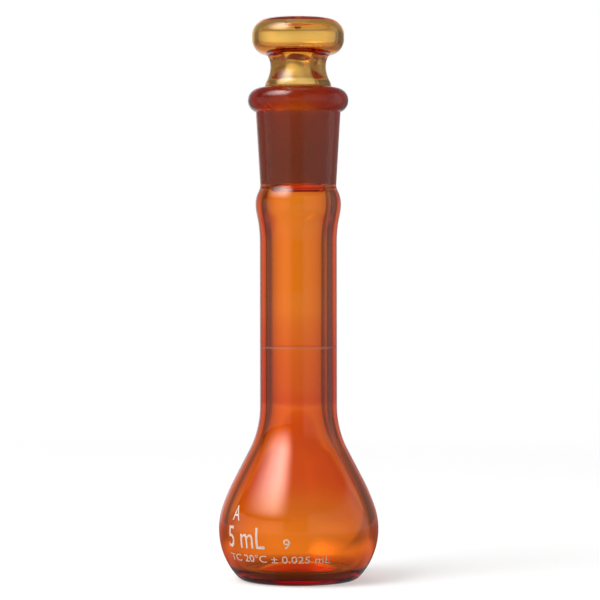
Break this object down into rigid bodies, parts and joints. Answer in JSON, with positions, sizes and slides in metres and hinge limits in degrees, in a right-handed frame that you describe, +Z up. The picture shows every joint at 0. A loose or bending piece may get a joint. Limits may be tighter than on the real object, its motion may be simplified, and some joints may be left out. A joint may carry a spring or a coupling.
{
  "type": "volumetric flask",
  "caption": "Small amber glass volumetric flask with a round bulb, a one-mark neck and a ground socket closed by a hollow flat-head glass stopper that lifts out.",
  "frame": {"origin": "centre of the circle that the flask stands on, on the table", "axes": "+Z up the neck along the axis of revolution; the printed graduation faces -Y"},
  "size_m": [0.0228, 0.0228, 0.0802],
  "materials": {
    "amber_glass": "clear red-brown amber borosilicate glass, fire-polished, with a ground socket",
    "light_amber_glass": "clear honey amber borosilicate glass, blown hollow, with a ground plug",
    "pale_line": "thin pale enamel line fired round the neck, half see-through",
    "white_enamel": "white enamel printed and fired on the glass"
  },
  "bodies": {
    "flask": {"flask": "amber_glass", "graduation_ring": "pale_line"},
    "stopper": {"stopper": "light_amber_glass"}
  },
  "joints": [
    {"name": "stopper_lift", "type": "slide", "parent": "flask", "child": "stopper", "axis": [0, 0, 1], "range_m": [0, 0.02]}
  ]
}
